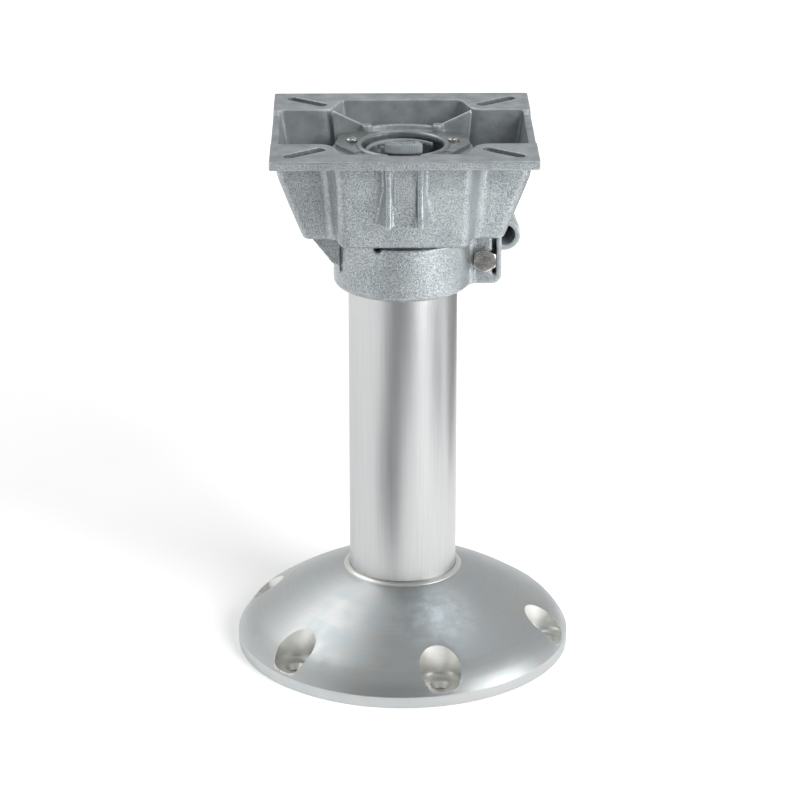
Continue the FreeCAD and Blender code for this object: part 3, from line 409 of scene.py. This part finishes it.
def makeCasting():
    # the seat mount: hammered outside, with a bare skin inside its walls and on its strips, and
    # painted shade on the walls of its slots
    cast = {
        "voxel": 1.0, "passes": 2, "keep": 0.34,
        "floor": 303.0, "hub": 48.5, "level": 0.7, "plate": (82.0, 78.0),
        "slots": (49.5, 78.0, 48.5, 72.5), "wall": 0.6,
        "foot": 304.3, "knee": 345.0, "under": 362.2, "ease": 0.04, "fade": 8.0,
    }
    groove = {"at": (-41.0, -20.0, 286.0), "wide": 1.9, "deep": 5.0, "high": 23.0, "edge": 0.3}
    piece = softened("seat_mount", "seat_casting", cast, groove)
    easeKnee(piece, cast)
    wear(piece, materials["seat_mount"], materials["castSkin"], materials["slotPaintedShade"])
    left, right, front, back = cast["slots"]
    for polygon in piece.data.polygons:
        x, y, z = polygon.center / mm
        normal = polygon.normal
        upward = normal.z > cast["level"]
        inward = x * normal.x + y * normal.y < 0
        inHub = math.hypot(x, y) < cast["hub"]
        inPlate = z > cast["under"] and abs(x) < cast["plate"][0] and abs(y) < cast["plate"][1]
        if z > cast["floor"] and (upward or inward or inHub or inPlate):
            polygon.material_index = 1
        # the slots' walls get the darker skin, which is painted shade
        if inPlate and abs(normal.z) < cast["wall"] and left < abs(x) < right and front < abs(y) < back:
            polygon.material_index = 2
    standFor(piece, "seat_mount", "head")
    print("seat casting has", len(piece.data.polygons), "faces")


def makeInsert():
    # the moulded plug in the column's top, with painted shade down inside its bore
    insert = {"voxel": 0.7, "passes": 2, "keep": 0.5, "bore": 26.0, "below": 351.0}
    piece = softened("column_insert", "insert_moulding", insert)
    wear(piece, materials["column_insert"], materials["shadedNylon"])
    for polygon in piece.data.polygons:
        x, y, z = polygon.center / mm
        # faces down inside the bore get the painted shade
        if math.hypot(x, y) < insert["bore"] and z < insert["below"]:
            polygon.material_index = 1
    standFor(piece, "column_insert", "base")
    print("insert moulding has", len(piece.data.polygons), "faces")


def makeLever():
    lever = {"voxel": 0.7, "passes": 3, "keep": 0.6}
    piece = softened("lock_lever", "lever_casting", lever)
    wear(piece, materials["lock_lever"])
    standFor(piece, "lock_lever", "lever")
    print("lever casting has", len(piece.data.polygons), "faces")


def makeFlange():
    # the turned flange: its top runs down to a crisp rim, and its screw bowls are milled
    flange = {
        "from": 104.0, "rim": 114.3, "high": 20.9, "low": 7.6, "slope": 0.73, "foot": 7.25,
        "width": 0.4, "crisp": 22, "circle": 101.6, "bowl": 14.4, "first": -76.5, "count": 6,
        "inset": 1.0, "underside": -0.5,
    }
    piece = plainCopy("base_flange", "turned_flange")
    reach = flange["rim"] - flange["from"]
    steepen = (flange["high"] - flange["low"] - flange["slope"] * reach) / reach ** 2
    for vert in piece.data.vertices:
        along = math.hypot(vert.co.x, vert.co.y) / mm - flange["from"]
        level = flange["high"] - flange["slope"] * along - steepen * along ** 2
        if along > 0 and vert.co.z > max(level, flange["foot"]) * mm:
            vert.co.z = level * mm
    bevelled(piece, {"width": flange["width"], "from": flange["crisp"]})
    wear(piece, materials["base_flange"], materials["milledRecess"])
    spots = [math.radians(flange["first"] + 360 / flange["count"] * k) for k in range(flange["count"])]
    holes = [(flange["circle"] * math.cos(a), flange["circle"] * math.sin(a)) for a in spots]
    for polygon in piece.data.polygons:
        x, y = polygon.center.x / mm, polygon.center.y / mm
        gap = min(math.hypot(x - across, y - along) for across, along in holes)
        within = math.hypot(x, y) < flange["rim"] - flange["inset"]
        if within and polygon.normal.z > flange["underside"] and gap < flange["bowl"]:
            polygon.material_index = 1
    standFor(piece, "base_flange", "base")
    print("flange has", len(piece.data.polygons), "faces")


def makeNeckLip():
    # the rounded bright lip that stands round the column's foot
    lip = {"inner": 36.55, "outer": 40.6, "low": 54.3, "rise": 2.6, "step": 10, "around": 96}
    wide = lip["outer"] - lip["inner"]
    turns = [math.radians(a) for a in range(0, 91, lip["step"])]
    arc = [(lip["inner"] + wide * math.sin(a), lip["low"] + lip["rise"] * math.cos(a)) for a in turns]
    piece = turnedProfile("neck_lip", [*arc, (lip["inner"], lip["low"]), arc[0]], lip["around"])
    smoothShaded(piece)
    wear(piece, materials["milledRecess"])
    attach(piece, "base")
    print("neck lip has", len(piece.data.polygons), "faces")


def makeMachinedPieces():
    for node, name, slot, edge in (
        ("retaining_ring", "cast_ring", "ring_plate", {"width": 0.5, "from": 32}),
        ("clamp_bolt", "hex_bolt", "bolt_steel", {"width": 0.25, "from": 25}),
    ):
        piece = plainCopy(node, name)
        bevelled(piece, edge)
        wear(piece, materials[node])
        standFor(piece, node, "head")
        print(name, "has", len(piece.data.polygons), "faces")


# Geometry Nodes

def newTree(name, inputs):
    # a tree that makes geometry, with these named inputs
    tree = bpy.data.node_groups.new(name, "GeometryNodeTree")
    tree.interface.new_socket("Geometry", in_out="OUTPUT", socket_type="NodeSocketGeometry")
    for label, kind in inputs.items():
        tree.interface.new_socket(label, in_out="INPUT", socket_type=kind)
    return tree, tree.nodes.new("NodeGroupInput").outputs


def grown(name, tree, values):
    # a plain mesh from the tree with these values
    piece = addObject(name, bpy.data.meshes.new(name))
    modifier = piece.modifiers.new(name, "NODES")
    modifier.node_group = tree
    for item in tree.interface.items_tree:
        if item.in_out == "INPUT":
            modifier[item.identifier] = values[item.name]
    return finished(piece)


def arcRowTree():
    # copies of one small piece in a row round the column's axis, each turned to face outwards
    tree, given = newTree("arcRow", {
        "Piece": "NodeSocketObject", "Material": "NodeSocketMaterial", "Count": "NodeSocketInt",
        "Radius": "NodeSocketFloat", "Height": "NodeSocketFloat", "First": "NodeSocketFloat",
        "Step": "NodeSocketFloat",
    })
    number = addNode(tree, "GeometryNodeInputIndex")
    turned = addNode(tree, "ShaderNodeMath", {0: number, 1: given["Step"]}, operation="MULTIPLY")
    angle = addNode(tree, "ShaderNodeMath", {0: turned, 1: given["First"]}, operation="ADD")
    aside = addNode(tree, "ShaderNodeMath", {0: angle}, operation="COSINE")
    back = addNode(tree, "ShaderNodeMath", {0: angle}, operation="SINE")
    x = addNode(tree, "ShaderNodeMath", {0: aside, 1: given["Radius"]}, operation="MULTIPLY")
    y = addNode(tree, "ShaderNodeMath", {0: back, 1: given["Radius"]}, operation="MULTIPLY")
    spot = addNode(tree, "ShaderNodeCombineXYZ", {"X": x, "Y": y, "Z": given["Height"]})
    points = addNode(tree, "GeometryNodePoints", {"Count": given["Count"], "Position": spot})
    small = addNode(tree, "GeometryNodeObjectInfo", {"Object": given["Piece"]}).outputs["Geometry"]
    facing = addNode(tree, "ShaderNodeCombineXYZ", {"Z": angle})
    row = addNode(tree, "GeometryNodeInstanceOnPoints", {
        "Points": points, "Instance": small, "Rotation": facing,
    })
    real = addNode(tree, "GeometryNodeRealizeInstances", {"Geometry": row})
    worn = addNode(tree, "GeometryNodeSetMaterial", {"Geometry": real, "Material": given["Material"]})
    addNode(tree, "NodeGroupOutput", {"Geometry": worn})
    return tree


def roundedBlock(name, wide, deep, high, edge):
    # a small block with rounded edges, its inner face at X = 0 and its foot at Z = 0
    mesh = bpy.data.meshes.new(name)
    work = bmesh.new()
    bmesh.ops.create_cube(work, size=1)
    for vert in work.verts:
        vert.co = Vector(((vert.co.x + 0.5) * deep, vert.co.y * wide, (vert.co.z + 0.5) * high)) * mm
    bmesh.ops.bevel(work, geom=work.edges[:], offset=edge * mm, segments=2, profile=0.5, affect="EDGES")
    work.to_mesh(mesh)
    work.free()
    return bpy.data.objects.new(name, mesh)


def makeLatchDetail(tree):
    # the grip ridges on the latch's nose, and the three low bumps on its top
    latch = {
        "ridges": 4, "nose": 29.6, "from": 358.6, "turn": 13.0, "span": 9.0,
        "wide": 0.7, "deep": 0.6, "high": 5.0, "edge": 0.25,
        "bumps": 3, "ring": 26.0, "top": 364.1, "bumpSpan": 36.0, "bump": (3.2, 2.6, 1.3), "bumpEdge": 0.5,
    }
    ridge = roundedBlock("ridge", latch["wide"], latch["deep"], latch["high"], latch["edge"])
    lowBump = roundedBlock("lowBump", *latch["bump"], latch["bumpEdge"])
    ridgeRow = (latch["ridges"], latch["nose"], latch["from"], latch["turn"], latch["span"])
    bumpRow = (latch["bumps"], latch["ring"], latch["top"], 0, latch["bumpSpan"])
    for name, small, (count, radius, height, turn, span) in (
        ("latch_ridges", ridge, ridgeRow),
        ("latch_bumps", lowBump, bumpRow),
    ):
        piece = grown(name, tree, {
            "Piece": small, "Material": materials["column_insert"], "Count": count,
            "Radius": radius * mm, "Height": height * mm,
            "First": math.radians(turn - 90 - span / 2), "Step": math.radians(span / (count - 1)),
        })
        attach(piece, "base")
        print(name, "has", len(piece.data.polygons), "faces")


def turnedProfile(name, profile, around):
    # a closed round piece from its half profile, (radius, height) in millimetres
    closer = 0.0005  # millimetres
    work = bmesh.new()
    verts = [work.verts.new((r * mm, 0, z * mm)) for r, z in profile]
    edges = [work.edges.new(pair) for pair in zip(verts, verts[1:])]
    bmesh.ops.spin(work, geom=verts + edges, cent=(0, 0, 0), axis=(0, 0, 1), angle=math.tau, steps=around)
    bmesh.ops.remove_doubles(work, verts=work.verts, dist=closer * mm)
    bmesh.ops.recalc_face_normals(work, faces=work.faces)
    mesh = bpy.data.meshes.new(name)
    work.to_mesh(mesh)
    work.free()
    return addObject(name, mesh)


def makeRingScrews(tree):
    # two pan-head screws with a cross recess, where the ring's ears are
    screw = {
        "head": 3.7, "flat": 2.2, "rise": 2.0, "rim": 0.25, "shank": 2.0, "length": 7.4, "seat": 355.5,
        "cross": 2.3, "blade": 0.85, "deep": 1.25, "taper": 0.55, "bladeEdge": 0.12,
        "x": 33.6, "y": 9.7, "step": 15, "around": 48, "sharp": 35,
    }
    head, flat, rise, shank = screw["head"], screw["flat"], screw["rise"], screw["shank"]
    turns = [math.radians(a) for a in range(0, 91, screw["step"])]
    dome = [(flat + (head - flat) * math.sin(a), rise / 2 * (1 + math.cos(a))) for a in turns]
    profile = [(0, rise), *dome, (head, screw["rim"]), (head - screw["rim"], 0), (shank, 0),
               (shank, -screw["length"]), (0, -screw["length"])]
    piece = turnedProfile("screw", profile, screw["around"])
    cross, deep = screw["cross"], screw["deep"]
    for turn in (0, math.pi / 2):
        cutter = roundedBlock("cutter", screw["blade"], cross * 2, deep * 2, screw["bladeEdge"])
        for vert in cutter.data.vertices:
            taper = 1 if vert.co.z > deep * mm else screw["taper"]
            vert.co.x = (vert.co.x - cross * mm) * taper
            vert.co.z += (rise - deep) * mm
        cutter.data.transform(Matrix.Rotation(turn, 4, "Z"))
        carve(piece, cutter)
    smoothShaded(piece, screw["sharp"])
    away, first = math.hypot(screw["x"], screw["y"]), math.atan2(screw["y"], screw["x"])
    screws = grown("pan_screws", tree, {
        "Piece": piece, "Material": materials["ring_screws"], "Count": 2,
        "Radius": away * mm, "Height": screw["seat"] * mm, "First": first, "Step": math.pi - 2 * first,
    })
    bpy.data.objects.remove(piece)
    standFor(screws, "ring_screws", "head")
    print("ring screws have", len(screws.data.polygons), "faces")


# The studio

def makeFloor():
    # matt white paper, brighter to the camera and in reflections so that it runs out to white, most
    # of all on the right where the key light falls, and not under the object
    floor = {
        "size": 12.0, "colour": "#EFEFEF", "near": 0.28, "far": 0.62, "from": 0.4, "to": 1.4,
        "right": 0.2, "rightFrom": 0.02, "rightTo": 0.5, "foot": 0.1143, "fade": 0.004,
    }
    material, tree, surface, place = newMaterial("whitePaper", {
        "Base Color": floor["colour"], "Roughness": 0.9, "Specular IOR Level": 0.1,
        "Emission Color": "#FFFFFF",
    })
    seen = addNode(tree, "ShaderNodeLightPath").outputs
    either = addNode(tree, "ShaderNodeMath", {
        0: seen["Is Camera Ray"], 1: seen["Is Glossy Ray"],
    }, operation="MAXIMUM")
    away = addNode(tree, "ShaderNodeVectorMath", {0: place}, operation="LENGTH").outputs["Value"]
    aside = addNode(tree, "ShaderNodeSeparateXYZ", {"Vector": place}).outputs["X"]
    level = addNode(tree, "ShaderNodeMapRange", {
        "Value": away, "From Min": floor["from"], "From Max": floor["to"],
        "To Min": floor["near"], "To Max": floor["far"],
    })
    lit = addNode(tree, "ShaderNodeMapRange", {
        "Value": aside, "From Min": floor["rightFrom"], "From Max": floor["rightTo"],
        "To Max": floor["right"],
    })
    outside = addNode(tree, "ShaderNodeMapRange", {
        "Value": away, "From Min": floor["foot"] - floor["fade"], "From Max": floor["foot"],
    })
    lifted = addNode(tree, "ShaderNodeMath", {0: level, 1: lit}, operation="ADD")
    around = addNode(tree, "ShaderNodeMath", {0: lifted, 1: outside}, operation="MULTIPLY")
    glow = addNode(tree, "ShaderNodeMath", {0: either, 1: around}, operation="MULTIPLY")
    tree.links.new(glow.outputs[0], surface.inputs["Emission Strength"])
    half = floor["size"] / 2
    addSheet("floor", material, -half, -half, half, half, 0)


def makeCards():
    # cards laid on the table beside the view, seen only in what shines: a dark one between the
    # camera and the object, one that reaches in on the left, and grey ones on the right and behind
    paper = {"Roughness": 0.9}
    height = 0.002
    for name, colour, left, front, right, back in (
        ("dark_card", "#747576", -0.5, -2.6, 0.42, -0.5),
        ("left_card", "#929394", -0.32, -0.5, -0.03, -0.19),
        ("grey_card", "#9E9F9F", 0.3, 0.12, 1.8, 1.6),
        ("right_card", "#8A8B8C", 0.42, -0.5, 1.3, 0.0),
    ):
        material = newMaterial(name, {"Base Color": colour, **paper})[0]
        sheet = addSheet(name, material, left, front, right, back, height)
        sheet.visible_camera = False
        sheet.visible_diffuse = False
        sheet.visible_shadow = False


def addSheet(name, material, left, front, right, back, height):
    mesh = bpy.data.meshes.new(name)
    corners = [(left, front, height), (right, front, height), (right, back, height), (left, back, height)]
    mesh.from_pydata(corners, [], [(0, 1, 2, 3)])
    mesh.materials.append(material)
    sheet = addObject(name, mesh)
    return sheet


def addPanel(name, place, width, height, power, colour="#FFFFFF", glossy=True, diffuse=True):
    # a soft light panel that faces the object's middle
    middle = Vector((0, 0, 0.2))
    light = bpy.data.lights.new(name, "AREA")
    light.shape = "RECTANGLE"
    light.size, light.size_y = width, height
    light.energy = power
    light.color = linear(colour)[:3]
    panel = bpy.data.objects.new(name, light)
    panel.location = place
    panel.rotation_euler = (middle - panel.location).to_track_quat("-Z", "Y").to_euler()
    panel.visible_glossy = glossy
    panel.visible_diffuse = diffuse
    bpy.context.scene.collection.objects.link(panel)


def makeLights():
    # (place, width and height in metres, watts)
    addPanel("keyRight", (1.75, -0.8, 0.55), 1.2, 0.8, 12.5)
    addPanel("leftBox", (-1.1, 0.65, 1.7), 1.2, 1.0, 7.5)
    addPanel("topStrip", (0.34, 0.36, 2.1), 0.24, 1.0, 5.5, "#ECF5FF", diffuse=False)
    addPanel("frontFill", (1.4, -1.7, 1.25), 1.2, 1.0, 56, glossy=False)


def makeWorld():
    # the room's plain level, and walls that are brighter or darker: (direction, the cosines where
    # the wall ends and is full, strength)
    plain = 0.46
    walls = {
        "cameraSide": ((0.0, -1.0, 0.1), 0.45, 0.95, -0.3),
        "overhead": ((-0.02, 0.12, 1.0), 0.84, 0.97, -0.2),
        "backWall": ((-0.1, 1.0, 0.25), 0.4, 0.95, 0.1),
        "leftWall": ((-1.0, 0.0, 0.15), 0.6, 0.97, 0.3),
    }
    world = bpy.data.worlds.new("studio")
    world.use_nodes = True
    tree = world.node_tree
    tree.nodes.clear()
    direction = addNode(tree, "ShaderNodeTexCoord").outputs["Generated"]
    level = plain
    for towards, end, full, strength in walls.values():
        close = addNode(tree, "ShaderNodeVectorMath", {
            0: direction, 1: tuple(Vector(towards).normalized()),
        }, operation="DOT_PRODUCT").outputs["Value"]
        glow = addNode(tree, "ShaderNodeMapRange", {
            "Value": close, "From Min": end, "From Max": full, "To Max": strength,
        }, interpolation_type="SMOOTHSTEP")
        level = addNode(tree, "ShaderNodeMath", {0: level, 1: glow}, operation="ADD")
    seen = addNode(tree, "ShaderNodeLightPath").outputs["Is Camera Ray"]
    white = addNode(tree, "ShaderNodeMath", {0: level, 1: seen}, operation="MAXIMUM")
    background = addNode(tree, "ShaderNodeBackground", {"Color": "#FFFFFF", "Strength": white})
    addNode(tree, "ShaderNodeOutputWorld", {"Surface": background})
    bpy.context.scene.world = world


def makeCamera():
    # the photograph's viewpoint, found from the column's edges, the base's outline and the plate
    view = {"distance": 1.94914, "height": 0.92946, "aside": -0.00189, "tilt": 21.145, "turn": 0.7925,
            "lens": 138.51, "farthest": 30}
    camera = bpy.data.objects.new("camera", bpy.data.cameras.new("camera"))
    camera.data.lens = view["lens"]
    camera.data.clip_end = view["farthest"]
    turn = Matrix.Rotation(math.radians(-view["turn"]), 4, "Z")
    camera.location = turn @ Vector((view["aside"], -view["distance"], view["height"]))
    camera.rotation_euler = (math.radians(90 - view["tilt"]), 0, math.radians(-view["turn"]))
    bpy.context.scene.collection.objects.link(camera)
    bpy.context.scene.camera = camera


makeCamera()
makeFloor()
makeCards()
makeLights()
makeWorld()
print("studio is set")

materials = makeMaterials()
for node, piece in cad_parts.items():
    wear(piece, materials[node])
print("materials are on")

makeCasting()
makeInsert()
makeLever()
makeFlange()
makeNeckLip()
makeMachinedPieces()
arcRow = arcRowTree()
makeRingScrews(arcRow)
makeLatchDetail(arcRow)
print("pieces are dressed")

bpy.context.scene.view_settings.view_transform = "Standard"
